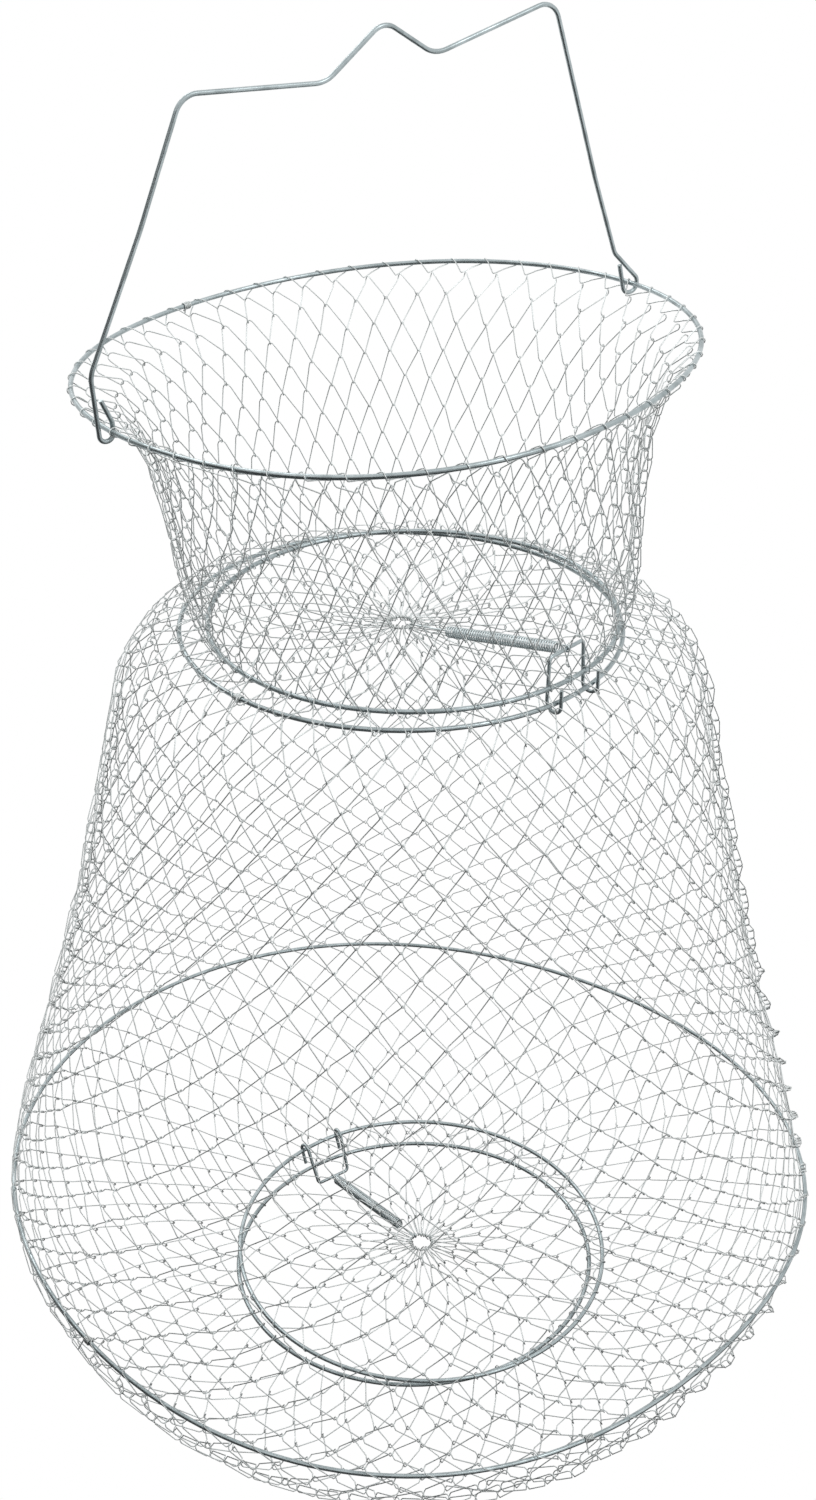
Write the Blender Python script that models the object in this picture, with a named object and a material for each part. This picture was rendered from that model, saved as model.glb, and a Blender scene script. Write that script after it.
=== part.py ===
"""Wire keep net: a folding fish basket of zinc-plated wire, shown hanging from its bail.

Metres, +Z up. The origin is under the bail's centre hump, where a hook or a cord carries the basket.
Heights are first counted from the middle of the belly hoop, and one empty lowers the whole basket.
Azimuths are counted from +X towards +Y.
"""
from math import acos, cos, degrees, pi, radians, sin, sqrt, tan

import bmesh
import bpy
from mathutils import Matrix, Vector

# Wire sizes and clearances
HOOP_WIRE = 0.0020
BAIL_WIRE = 0.0019
BRACKET_WIRE = 0.0016
SPRING_WIRE = 0.0007
EYE_WIRE = 0.0009
TIE_WIRE = 0.0006
NET_BAR = 0.0012
NET_THICKNESS = 0.0010
CLEARANCE = 0.0003

# Hoops: radius, height above or below the next hoop, offset of the centre, and slope
BELLY_RADIUS = 0.1900
BELLY_SLOPE = (-2.43, -0.26)
BELLY_LOBES = ((2, 0.0010, 24.0), (3, 0.0042, 18.5), (4, 0.0023, 3.5))

NECK_RADIUS = 0.0863
NECK_RISE = 0.2983
NECK_OFFSET = (0.0023, -0.0004)
NECK_SLOPE = (0.49, 0.20)

MOUTH_RADIUS = 0.1236
MOUTH_RISE = 0.1133
MOUTH_OFFSET = (-0.0078, 0.0000)
MOUTH_SLOPE = (4.29, -0.23)
MOUTH_LOBES = ((2, 0.0010, 80.0), (3, 0.0022, 44.5), (4, 0.0014, -2.0))

BASE_RADIUS = 0.0879
BASE_DROP = 0.0585
BASE_OFFSET = (0.0034, -0.0019)
BASE_SLOPE = (1.00, -1.00)

# Doors: each lies inside the basket, against the hoop that it closes
NECK_DOOR_RADIUS = NECK_RADIUS + 0.0069
NECK_DOOR_GAP = 0.0040
NECK_DOOR_OFFSET = (-0.0028, -0.0005)
NECK_DOOR_SLOPE = (-0.40, 0.40)
NECK_HINGE_AZIMUTH = -42.0

BASE_DOOR_RADIUS = BASE_RADIUS + 0.0028
BASE_DOOR_GAP = 0.0076
BASE_DOOR_OFFSET = (0.0072, -0.0004)
BASE_DOOR_SLOPE = (-1.37, 1.40)
BASE_HINGE_AZIMUTH = 126.0

EYE_RADIUS = 0.0055

# Hinge brackets: a crossbar and two hooks that hold the door hoop and the hoop it closes
HOOK_SPACING = 0.0210
CROSSBAR_LENGTH = 0.0185
CROSSBAR_BEND = 0.0020
NECK_CROSSBAR_REACH = 0.0162
NECK_RETURN = 0.0060
NECK_BRACKET_LEAN = 0.0
BASE_CROSSBAR_REACH = 0.0190
BASE_RETURN = 0.0080
BASE_BRACKET_LEAN = 24.0

# Coil springs, from the crossbar to the eye
SPRING_DIAMETER = 0.0050
SPRING_CURLS = 12
SPRING_LEAD = 0.0035
SPRING_SHARE = 0.76
CURL_POINTS = 8

# Bail, as corners of its outline: (sideways, height over the line through its two feet, bend radius)
FOOT_AZIMUTHS = (-149.0, 36.0)
BAIL_LEAN = 2.5
BAIL_TOP = (
    (-0.1012, 0.0712, 0.150),
    (-0.0805, 0.1153, 0.009),
    (-0.0214, 0.1088, 0.012),
    (0.0045, 0.1267, 0.008),
    (0.0266, 0.1107, 0.012),
    (0.0827, 0.1222, 0.008),
    (0.1042, 0.0485, 0.060),
)

# Feet, from the cut end through the hook to the kink over it, counted outwards from the mouth hoop
LEFT_FOOT = (
    (0.0014, 0.0115, 0.0),
    (-0.0023, 0.0020, 0.004),
    (-0.0023, -0.0041, 0.0028),
    (0.0034, -0.0041, 0.0028),
    (0.0044, 0.0225, 0.012),
)
RIGHT_FOOT = (
    (-0.0046, 0.0080, 0.0),
    (-0.0018, -0.0046, 0.0035),
    (0.0049, -0.0046, 0.0035),
    (0.0049, 0.0004, 0.0036),
    (-0.0064, 0.0139, 0.008),
)

# Nets: columns round the basket, strand length, and outlines as (share of the way down, bulge outwards)
NET_COLUMNS = 18
NET_STRAND = 0.0480
NET_SHOULDER = 0.0165
FUNNEL_OUTLINE = ((0.15, -0.0141), (0.40, -0.0120), (0.81, -0.0011))
BODY_OUTLINE = (
    (-0.003, 0.0170),
    (0.02, 0.0276),
    (0.08, 0.0294),
    (0.255, 0.0218),
    (0.50, 0.0133),
    (0.87, 0.0053),
)
BASE_OUTLINE = ((0.20, 0.0194), (0.61, 0.0468), (0.80, 0.0517), (0.94, 0.0460), (1.025, 0.0297))
DOOR_COLUMNS = 16
DOOR_STRAND = 0.0210

# Ties: short windings of net wire on the hoops
TIE_TURNS = 2
TIE_PITCH = 0.0012
MOUTH_TIE_AZIMUTH = 136.0
NECK_DOOR_TIE_AZIMUTH = -133.0
BELLY_TIE_FRONT_AZIMUTH = -66.0
BELLY_TIE_LEFT_AZIMUTH = -138.0

# Fineness of the meshes
BELLY_SEGMENTS = 72
MOUTH_SEGMENTS = 60
SMALL_SEGMENTS = 48
EYE_SEGMENTS = 16
BEND_STEPS = 4
OUTLINE_STEPS = 8
WIRE_FACETS = 1

UP = Vector((0, 0, 1))


def mix(a, b, share):
    """A value part of the way from a to b."""
    return a + (b - a) * share


def heading(azimuth):
    """The level unit vector at an azimuth in degrees."""
    return Vector((cos(radians(azimuth)), sin(radians(azimuth)), 0))


class Hoop:
    """A hoop of bent wire, with the slope that it hangs at and the lobes that bending left in it."""

    def __init__(self, radius, height, offset=(0, 0), slope=(0, 0), lobes=()):
        self.radius = radius
        self.height = height
        self.offset = Vector((*offset, 0))
        self.slope = Vector((tan(radians(slope[0])), tan(radians(slope[1])), 0))
        self.lobes = lobes

    def lobe(self, azimuth):
        """How far the lobes push the wire out at an azimuth."""
        return sum(size * cos(radians(count * (azimuth - peak))) for count, size, peak in self.lobes)

    def at(self, radius, azimuth):
        """A point of the hoop's own plane, at a radius from its centre."""
        across = heading(azimuth) * radius
        return self.offset + across + UP * (self.height + self.slope.dot(across))

    def point(self, azimuth, outwards=0.0):
        """A point on the middle of the wire, or beside it."""
        return self.at(self.radius + self.lobe(azimuth) + outwards, azimuth)


BELLY = Hoop(BELLY_RADIUS, 0.0, slope=BELLY_SLOPE, lobes=BELLY_LOBES)
NECK = Hoop(NECK_RADIUS, NECK_RISE, NECK_OFFSET, NECK_SLOPE)
MOUTH = Hoop(MOUTH_RADIUS, NECK_RISE + MOUTH_RISE, MOUTH_OFFSET, MOUTH_SLOPE, MOUTH_LOBES)
BASE = Hoop(BASE_RADIUS, -BASE_DROP, BASE_OFFSET, BASE_SLOPE)
NECK_DOOR = Hoop(NECK_DOOR_RADIUS, NECK_RISE - NECK_DOOR_GAP, NECK_DOOR_OFFSET, NECK_DOOR_SLOPE)
BASE_DOOR = Hoop(BASE_DOOR_RADIUS, BASE_DOOR_GAP - BASE_DROP, BASE_DOOR_OFFSET, BASE_DOOR_SLOPE)


def clear_scene():
    """Removes every object."""
    for old in list(bpy.data.objects):
        bpy.data.objects.remove(old, do_unlink=True)


def metal(name, colour, roughness):
    """A bright metal material."""
    finish = bpy.data.materials.new(name)
    finish.use_nodes = True
    shader = finish.node_tree.nodes["Principled BSDF"]
    shader.inputs["Base Color"].default_value = (*colour, 1)
    shader.inputs["Metallic"].default_value = 1.0
    shader.inputs["Roughness"].default_value = roughness
    return finish


def place(name, data, finish, parent, origin):
    """Adds an object whose own origin is at a point of the basket."""
    data.materials.append(finish)
    piece = bpy.data.objects.new(name, data)
    bpy.context.scene.collection.objects.link(piece)
    piece.parent = parent
    piece.location = origin
    return piece


def wire(name, points, thickness, finish, parent, closed=False, origin=Vector((0, 0, 0))):
    """One length of round wire through the points, as a closed hoop or with its ends capped."""
    data = bpy.data.curves.new(name, "CURVE")
    data.dimensions = "3D"
    data.bevel_depth = thickness / 2
    data.bevel_resolution = WIRE_FACETS
    data.use_fill_caps = not closed
    data.render_resolution_u = 0
    spline = data.splines.new("POLY")
    spline.points.add(len(points) - 1)
    for spot, point in zip(spline.points, points):
        spot.co = (*(point - origin), 1)
    spline.use_cyclic_u = closed
    return place(name, data, finish, parent, origin)


def hoop_wire(name, hoop, segments, finish, parent, origin=Vector((0, 0, 0))):
    """The wire of a hoop."""
    points = [hoop.point(360 * k / segments) for k in range(segments)]
    return wire(name, points, HOOP_WIRE, finish, parent, closed=True, origin=origin)


def rounded(corners, bends):
    """A route through corners, each rounded by an arc of its bend radius.

    The first and last corners are the ends. A bend of zero leaves its corner sharp.
    """
    route = [corners[0]]
    for before, corner, after, bend in zip(corners, corners[1:], corners[2:], bends):
        came = (before - corner).normalized()
        goes = (after - corner).normalized()
        half = acos(max(-1.0, min(1.0, came.dot(goes)))) / 2
        if bend == 0 or half > pi / 2 - 0.01:
            route.append(corner)
            continue
        centre = corner + (came + goes).normalized() * (bend / sin(half))
        first = corner + came * (bend / tan(half)) - centre
        last = corner + goes * (bend / tan(half)) - centre
        sweep = first.angle(last)
        for k in range(BEND_STEPS + 1):
            share = k / BEND_STEPS
            turned = first * sin((1 - share) * sweep) + last * sin(share * sweep)
            route.append(centre + turned / sin(sweep))
    route.append(corners[-1])
    return route


def least_gap(points, thickness, apart):
    """The least gap between parts of a wound wire that lie at least some length of wire apart."""
    run = [0.0]
    for a, b in zip(points, points[1:]):
        run.append(run[-1] + (b - a).length)
    gap = 1.0
    for i, a in enumerate(points):
        for j in range(i + 1, len(points)):
            if run[j] - run[i] > apart:
                gap = min(gap, (points[j] - a).length - thickness)
    return gap


class BailFrame:
    """The upright plane of the bail, through its two feet on the mouth hoop."""

    def __init__(self):
        left, right = (MOUTH.point(azimuth) for azimuth in FOOT_AZIMUTHS)
        self.middle = (left + right) / 2
        self.half_span = (right - left).length / 2
        self.along = (right - left).normalized()
        upright = (UP - self.along * UP.dot(self.along)).normalized()
        side = self.along.cross(upright)
        self.up = (upright * cos(radians(BAIL_LEAN)) + side * sin(radians(BAIL_LEAN))).normalized()

    def at(self, sideways, height):
        """A point of the plane."""
        return self.middle + self.along * sideways + self.up * height


def bail_route(frame):
    """The bail's wire from the end of its left foot over the hump to the end of its right foot."""
    left = [(-frame.half_span - beyond, height, bend) for beyond, height, bend in LEFT_FOOT]
    right = [(frame.half_span + beyond, height, bend) for beyond, height, bend in reversed(RIGHT_FOOT)]
    outline = [*left, *BAIL_TOP, *right]
    corners = [frame.at(sideways, height) for sideways, height, _ in outline]
    return rounded(corners, [bend for _, _, bend in outline[1:-1]])


def smooth_outline(pairs):
    """A smooth curve through (radius, height) pairs, as points with their distance along it."""
    knots = [Vector(pair) for pair in pairs]
    knots = [knots[0] * 2 - knots[1]] + knots + [knots[-1] * 2 - knots[-2]]
    curve = []
    for a, b, c, d in zip(knots, knots[1:], knots[2:], knots[3:]):
        for k in range(OUTLINE_STEPS):
            t = k / OUTLINE_STEPS
            bend = a * 2 - b * 5 + c * 4 - d
            twist = b * 3 - a - c * 3 + d
            curve.append((b * 2 + (c - a) * t + bend * t**2 + twist * t**3) / 2)
    curve.append(knots[-2])
    run = [0.0]
    for a, b in zip(curve, curve[1:]):
        run.append(run[-1] + (b - a).length)
    return curve, run


class NetSurface:
    """The surface of revolution on which a net lies, from an upper hoop down to a lower one."""

    def __init__(self, top, bottom, shape):
        self.top = top
        self.bottom = bottom
        pairs = [(top.radius, top.height)]
        for share, bulge in shape:
            radius = mix(top.radius, bottom.radius, share) + bulge
            pairs.append((radius, mix(top.height, bottom.height, share)))
        pairs.append((bottom.radius, bottom.height))
        self.curve, self.run = smooth_outline(pairs)
        self.length = self.run[-1]

    def outline(self, distance):
        """Radius and height at a distance down the net."""
        for k in range(1, len(self.run)):
            if distance <= self.run[k] or k == len(self.run) - 1:
                share = (distance - self.run[k - 1]) / (self.run[k] - self.run[k - 1])
                return self.curve[k - 1].lerp(self.curve[k], share)
        return self.curve[-1]

    def point(self, distance, azimuth):
        """A point of the net, which takes up the offset, slope and lobes of both its hoops."""
        share = distance / self.length
        radius, height = self.outline(distance)
        radius += mix(self.top.lobe(azimuth), self.bottom.lobe(azimuth), share)
        across = heading(azimuth) * radius
        slope = self.top.slope.lerp(self.bottom.slope, share)
        offset = self.top.offset.lerp(self.bottom.offset, share)
        return offset + across + UP * (height + slope.dot(across))

    def rows(self, strand, columns, seat, shoulder):
        """Distances of the rows of knots, so that every strand is about as long as the next.

        A shoulder puts an extra row of short strands first, to go out over what lies under the net there.
        """
        at = [seat]
        if shoulder:
            at.append(shoulder)
        while at[-1] < self.length - seat:
            half_pitch = pi * self.outline(at[-1])[0] / columns
            at.append(at[-1] + sqrt(max(strand**2 - half_pitch**2, (strand / 4) ** 2)))
        if at[-1] - (self.length - seat) > (at[-1] - at[-2]) / 2:
            at.pop()
        fixed = shoulder or seat
        grow = (self.length - seat - fixed) / (at[-1] - fixed)
        return [distance if distance <= fixed else fixed + (distance - fixed) * grow for distance in at]


def lattice(name, knots, finish, parent, origin=Vector((0, 0, 0))):
    """A net of diamonds between rows of knots, each row set half a diamond round from the last.

    Every diamond is inset and its middle taken out, and the strips that are left get a thickness.
    """
    mesh = bmesh.new()
    rows = [[mesh.verts.new(knot - origin) for knot in row] for row in knots]
    count = len(rows[0])
    cells = []
    for k in range(len(rows) - 2):
        for i in range(count):
            left = (i - 1 + k % 2) % count
            right = (i + k % 2) % count
            ring = (rows[k][i], rows[k + 1][left], rows[k + 2][i], rows[k + 1][right])
            cells.append(mesh.faces.new(ring))
    mesh.normal_update()
    bmesh.ops.inset_individual(mesh, faces=cells, thickness=NET_BAR / 2, use_even_offset=True)
    bmesh.ops.delete(mesh, geom=cells, context="FACES")
    mesh.normal_update()
    data = bpy.data.meshes.new(name)
    mesh.to_mesh(data)
    mesh.free()
    piece = place(name, data, finish, parent, origin)
    thicken = piece.modifiers.new("Thickness", "SOLIDIFY")
    thicken.thickness = NET_THICKNESS
    thicken.offset = 0.0
    thicken.use_even_offset = True
    return piece


def knot_rows(point, stations, columns, first_azimuth):
    """Rows of knots, where point(distance, azimuth) places one."""
    step = 360 / columns
    return [
        [point(distance, first_azimuth + step * (i + (k % 2) / 2)) for i in range(columns)]
        for k, distance in enumerate(stations)
    ]


def basket_net(name, top, bottom, shape, finish, parent, knot_azimuth, knot_at_top=True, shoulder=0.0):
    """A net between two hoops, with one of its end knots at a stated azimuth.

    Returns the azimuth of a knot in its last row.
    """
    surface = NetSurface(top, bottom, shape)
    seat = HOOP_WIRE / 2 + CLEARANCE
    stations = surface.rows(NET_STRAND, NET_COLUMNS, seat, shoulder)
    shifted = not knot_at_top and len(stations) % 2 == 0
    first = knot_azimuth + (180 / NET_COLUMNS if shifted else 0)
    lattice(name, knot_rows(surface.point, stations, NET_COLUMNS, first), finish, parent)
    last = first + (180 / NET_COLUMNS if len(stations) % 2 == 0 else 0)
    print(name, "rows of strands", len(stations) - 1, "gaps", (len(stations) - 2) * NET_COLUMNS)
    return last


def door_net(name, door, hinge_azimuth, finish, parent, origin):
    """The flat net of a door, from its hoop to its eye, with an outer knot at the hinge."""
    outer = door.radius - HOOP_WIRE / 2 - CLEARANCE
    inner = EYE_RADIUS + EYE_WIRE / 2 + CLEARANCE
    radii = [outer]
    while radii[-1] > inner:
        half_pitch = pi * radii[-1] / DOOR_COLUMNS
        radii.append(radii[-1] - sqrt(max(DOOR_STRAND**2 - half_pitch**2, (DOOR_STRAND / 4) ** 2)))
    grow = (outer - inner) / (outer - radii[-1])
    stations = [outer - (outer - radius) * grow for radius in radii]
    lattice(name, knot_rows(door.at, stations, DOOR_COLUMNS, hinge_azimuth), finish, parent, origin)
    print(name, "rows of strands", len(stations) - 1, "gaps", (len(stations) - 2) * DOOR_COLUMNS)


class Hinge:
    """Where a door hoop turns in the two hooks of its bracket."""

    def __init__(self, door, net_hoop, azimuth, side):
        self.door = door
        self.net_hoop = net_hoop
        self.azimuth = azimuth
        self.side = UP * side
        swing = degrees(HOOK_SPACING / 2 / door.radius)
        self.hook_azimuths = (azimuth + swing, azimuth - swing)
        self.ends = [door.point(each) for each in self.hook_azimuths]
        self.middle = (self.ends[0] + self.ends[1]) / 2
        self.axis = (self.ends[0] - self.ends[1]).normalized()


def bracket_leg(hinge, azimuth, crossbar_reach, back):
    """One leg of a bracket: the free end, the hook round both hoops, and the way to the crossbar."""
    out = heading(azimuth)
    wire_middle = hinge.door.point(azimuth)
    inset = (wire_middle - hinge.net_hoop.point(azimuth)).dot(out)
    beside = HOOP_WIRE / 2 + BRACKET_WIRE / 2 + CLEARANCE
    outer = beside
    inner = -max(inset, 0.0) - beside
    middle = (outer + inner) / 2
    radius = (outer - inner) / 2
    leg = [wire_middle + out * outer + hinge.side * back]
    for k in range(2 * BEND_STEPS + 1):
        turn = pi * k / (2 * BEND_STEPS)
        leg.append(wire_middle + out * (middle + radius * cos(turn)) - hinge.side * radius * sin(turn))
    leg.append(wire_middle + out * inner + hinge.side * crossbar_reach)
    return leg


def bracket(name, hinge, crossbar_reach, back, lean, finish, parent):
    """A bent wire hinge bracket. Returns the middle of its crossbar."""
    first = bracket_leg(hinge, hinge.hook_azimuths[0], crossbar_reach, back)
    last = bracket_leg(hinge, hinge.hook_azimuths[1], crossbar_reach, back)
    middle = (first[-1] + last[-1]) / 2
    first[-1] = middle + hinge.axis * CROSSBAR_LENGTH / 2
    last[-1] = middle - hinge.axis * CROSSBAR_LENGTH / 2
    corners = [first[-2], first[-1], last[-1], last[-2]]
    crossing = rounded(corners, [CROSSBAR_BEND, CROSSBAR_BEND])
    route = first[:-2] + crossing + last[-3::-1]
    tilt = Matrix.Rotation(-radians(lean) * hinge.side.z, 4, hinge.axis)
    turned = [hinge.middle + tilt @ (point - hinge.middle) for point in route]
    wire(name, turned, BRACKET_WIRE, finish, parent)
    return hinge.middle + tilt @ (middle - hinge.middle)


def spring(name, hinge, crossbar, finish, parent):
    """A coil spring with a hook round the crossbar and a hook round the door's eye."""
    eye = hinge.door.at(EYE_RADIUS, hinge.azimuth)
    along = (eye - crossbar).normalized()
    over = (hinge.side - along * hinge.side.dot(along)).normalized()
    beside = along.cross(over)
    span = (eye - crossbar).length
    bar_bend = BRACKET_WIRE / 2 + CLEARANCE + SPRING_WIRE / 2
    eye_bend = EYE_WIRE / 2 + CLEARANCE + SPRING_WIRE / 2
    coil_radius = (SPRING_DIAMETER - SPRING_WIRE) / 2
    coil_end = SPRING_SHARE * span
    route = []
    for k in range(2 * BEND_STEPS + 1):
        turn = radians(mix(280.0, 90.0, k / (2 * BEND_STEPS)))
        route.append(crossbar + (along * cos(turn) + over * sin(turn)) * bar_bend)
    steps = SPRING_CURLS * CURL_POINTS
    for k in range(steps + 1):
        turn = 2 * pi * k / CURL_POINTS
        ring = (over * cos(turn) + beside * sin(turn)) * coil_radius
        route.append(crossbar + along * mix(SPRING_LEAD, coil_end, k / steps) + ring)
    for k in range(2 * BEND_STEPS + 1):
        turn = radians(mix(90.0, -110.0, k / (2 * BEND_STEPS)))
        route.append(eye + (along * cos(turn) + over * sin(turn)) * eye_bend)
    print(name, "least gap to itself", round(least_gap(route, SPRING_WIRE, 3 * SPRING_DIAMETER / 2), 5))
    wire(name, route, SPRING_WIRE, finish, parent)


def tie(name, hoop, azimuth, finish, parent, origin=Vector((0, 0, 0))):
    """A short winding of net wire on a hoop."""
    radius = HOOP_WIRE / 2 + CLEARANCE + TIE_WIRE / 2
    steps = TIE_TURNS * CURL_POINTS
    route = []
    for k in range(steps + 1):
        share = k / steps - 0.5
        where = azimuth + degrees(share * TIE_TURNS * TIE_PITCH / hoop.radius)
        turn = 2 * pi * k / CURL_POINTS
        ring = (heading(where) * cos(turn) + UP * sin(turn)) * radius
        route.append(hoop.point(where) + ring)
    print(name, "least gap to itself", round(least_gap(route, TIE_WIRE, 1.5 * radius * pi), 5))
    wire(name, route, TIE_WIRE, finish, parent, origin=origin)


def door(prefix, hinge, finish, net_finish, parent):
    """A door: its hoop, its net and its eye, all with their origin on the hinge."""
    pivot = hinge.middle
    hoop_wire(prefix + "_hoop", hinge.door, SMALL_SEGMENTS, finish, parent, pivot)
    door_net(prefix + "_net", hinge.door, hinge.azimuth, net_finish, parent, pivot)
    eye = [hinge.door.at(EYE_RADIUS, 360 * k / EYE_SEGMENTS) for k in range(EYE_SEGMENTS)]
    wire(prefix + "_eye", eye, EYE_WIRE, net_finish, parent, closed=True, origin=pivot)


def main():
    """Builds the basket."""
    clear_scene()
    zinc = metal("zinc_wire", (0.62, 0.68, 0.70), 0.30)
    mesh_zinc = metal("net_wire", (0.58, 0.62, 0.62), 0.38)
    spring_steel = metal("spring_wire", (0.55, 0.63, 0.65), 0.28)

    frame = BailFrame()
    route = bail_route(frame)
    crown = max(route, key=lambda point: (point - frame.middle).dot(frame.up))
    hang_point = crown - frame.up * BAIL_WIRE / 2
    whole = bpy.data.objects.new("basket", None)
    whole.location = -hang_point
    bpy.context.scene.collection.objects.link(whole)

    wire("bail", route, BAIL_WIRE, zinc, whole)
    hoop_wire("mouth_hoop", MOUTH, MOUTH_SEGMENTS, zinc, whole)
    hoop_wire("neck_hoop", NECK, SMALL_SEGMENTS, zinc, whole)
    hoop_wire("belly_hoop", BELLY, BELLY_SEGMENTS, zinc, whole)
    hoop_wire("base_hoop", BASE, SMALL_SEGMENTS, zinc, whole)

    neck_hinge = Hinge(NECK_DOOR, NECK, NECK_HINGE_AZIMUTH, 1)
    base_hinge = Hinge(BASE_DOOR, BASE, BASE_HINGE_AZIMUTH, -1)
    door("neck_door", neck_hinge, zinc, mesh_zinc, whole)
    door("base_door", base_hinge, zinc, mesh_zinc, whole)
    neck_bar = bracket(
        "neck_bracket", neck_hinge, NECK_CROSSBAR_REACH, NECK_RETURN, NECK_BRACKET_LEAN, zinc, whole
    )
    base_bar = bracket(
        "base_bracket", base_hinge, BASE_CROSSBAR_REACH, BASE_RETURN, BASE_BRACKET_LEAN, zinc, whole
    )
    spring("neck_spring", neck_hinge, neck_bar, spring_steel, whole)
    spring("base_spring", base_hinge, base_bar, spring_steel, whole)

    basket_net(
        "mouth_net", MOUTH, NECK, FUNNEL_OUTLINE, mesh_zinc, whole, NECK_HINGE_AZIMUTH, knot_at_top=False
    )
    belly_knot = basket_net(
        "body_net", NECK, BELLY, BODY_OUTLINE, mesh_zinc, whole, NECK_HINGE_AZIMUTH, shoulder=NET_SHOULDER
    )
    basket_net("base_net", BELLY, BASE, BASE_OUTLINE, mesh_zinc, whole, belly_knot)

    tie("mouth_tie", MOUTH, MOUTH_TIE_AZIMUTH, mesh_zinc, whole)
    tie("neck_door_tie", NECK_DOOR, NECK_DOOR_TIE_AZIMUTH, mesh_zinc, whole, neck_hinge.middle)
    tie("belly_tie_front", BELLY, BELLY_TIE_FRONT_AZIMUTH, mesh_zinc, whole)
    tie("belly_tie_left", BELLY, BELLY_TIE_LEFT_AZIMUTH, mesh_zinc, whole)

    for name, point in (("hang point over belly centre", hang_point), ("bail middle", frame.middle)):
        print(name, [round(value, 5) for value in point])
    print("bail axis", [round(value, 5) for value in frame.along], "half span", round(frame.half_span, 5))
    for name, hinge in (("neck hinge", neck_hinge), ("base hinge", base_hinge)):
        spot = hinge.middle - hang_point
        print(name, [round(value, 5) for value in spot], [round(value, 5) for value in hinge.axis])


main()
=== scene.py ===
"""A folding fish basket of zinc-plated wire, dressed and lit for its picture.

Metres, +Z up. The part's origin lies under the centre hump of the bail. The hoops and the nets are worked
out from the middle of the belly hoop, and the bench moves every piece to the part's origin as it is made.
Azimuths are in degrees from +X towards +Y, and the picture is taken from -Y.
"""
from __future__ import annotations

import logging
from dataclasses import dataclass, field
from enum import Enum
from math import acos, cos, degrees, log, pi, radians, sin, sqrt, tan
from random import Random
from typing import Iterable, Sequence

import bmesh
import bpy
from mathutils import Matrix, Vector

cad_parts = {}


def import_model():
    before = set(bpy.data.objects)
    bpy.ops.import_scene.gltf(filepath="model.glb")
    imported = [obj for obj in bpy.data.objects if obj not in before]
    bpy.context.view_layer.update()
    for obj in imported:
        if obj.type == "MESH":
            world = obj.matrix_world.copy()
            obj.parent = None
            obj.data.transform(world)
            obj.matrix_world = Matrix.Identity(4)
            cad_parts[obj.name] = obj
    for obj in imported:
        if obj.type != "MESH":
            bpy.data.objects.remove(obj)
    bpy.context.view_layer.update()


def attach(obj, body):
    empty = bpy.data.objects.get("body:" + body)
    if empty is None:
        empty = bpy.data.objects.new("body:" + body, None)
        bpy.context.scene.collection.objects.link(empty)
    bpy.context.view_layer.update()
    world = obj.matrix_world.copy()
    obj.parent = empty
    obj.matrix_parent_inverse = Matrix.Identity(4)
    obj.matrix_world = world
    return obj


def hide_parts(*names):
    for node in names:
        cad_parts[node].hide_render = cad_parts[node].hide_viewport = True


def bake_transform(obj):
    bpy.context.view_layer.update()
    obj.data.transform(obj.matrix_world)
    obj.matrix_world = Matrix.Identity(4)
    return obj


LOG = logging.getLogger("keep_net")
UP = Vector((0.0, 0.0, 1.0))
MM = 0.001
WHITE = (1.0, 1.0, 1.0, 1.0)

# Values of the patches' noise where the plating is fully dull and fully bright
PATCH_RANGE = (0.36, 0.62)


class Body(Enum):
    """The bodies of the basket that move against each other."""

    BAIL = "bail"
    MOUTH = "mouth"
    NECK = "neck"
    NECK_DOOR = "neck_door"
    BELLY = "belly"
    BASE = "base"
    BASE_DOOR = "base_door"


class Side(Enum):
    """The face of a door that its spring and its bracket stand on."""

    ABOVE = 1.0
    BELOW = -1.0


def part_way(a: float, b: float, share: float) -> float:
    """A value part of the way from a to b."""
    return a + (b - a) * share


def heading(azimuth: float) -> Vector:
    """The level unit vector at an azimuth."""
    return Vector((cos(radians(azimuth)), sin(radians(azimuth)), 0.0))


def placed(name: str, data: bpy.types.ID) -> bpy.types.Object:
    """Puts a new object into the scene.

    Args:
        name: The object's name.
        data: Its mesh, curve, lamp or camera.

    Returns:
        The object, at the origin.
    """
    made = bpy.data.objects.new(name, data)
    bpy.context.scene.collection.objects.link(made)
    return made


def matt(name: str, grey: float, roughness: float) -> bpy.types.Material:
    """Makes a plain grey material.

    Args:
        name: The material's name.
        grey: How light it is, from 0 to 1.
        roughness: Its roughness.

    Returns:
        The material.
    """
    made = bpy.data.materials.new(name)
    made.use_nodes = True
    shader = made.node_tree.nodes["Principled BSDF"]
    shader.inputs["Base Color"].default_value = (grey, grey, grey, 1.0)
    shader.inputs["Roughness"].default_value = roughness
    return made


def smooth_between(before: Vector, a: Vector, b: Vector, after: Vector, share: float) -> Vector:
    """A point of the smooth curve from a to b.

    Args:
        before: The knot before a.
        a: Where the stretch starts.
        b: Where it ends.
        after: The knot after b.
        share: How far along the stretch the point lies, from 0 to 1.

    Returns:
        The point.
    """
    bend = before * 2 - a * 5 + b * 4 - after
    twist = a * 3 - before - b * 3 + after
    return (a * 2 + (b - before) * share + bend * share**2 + twist * share**3) / 2


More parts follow.
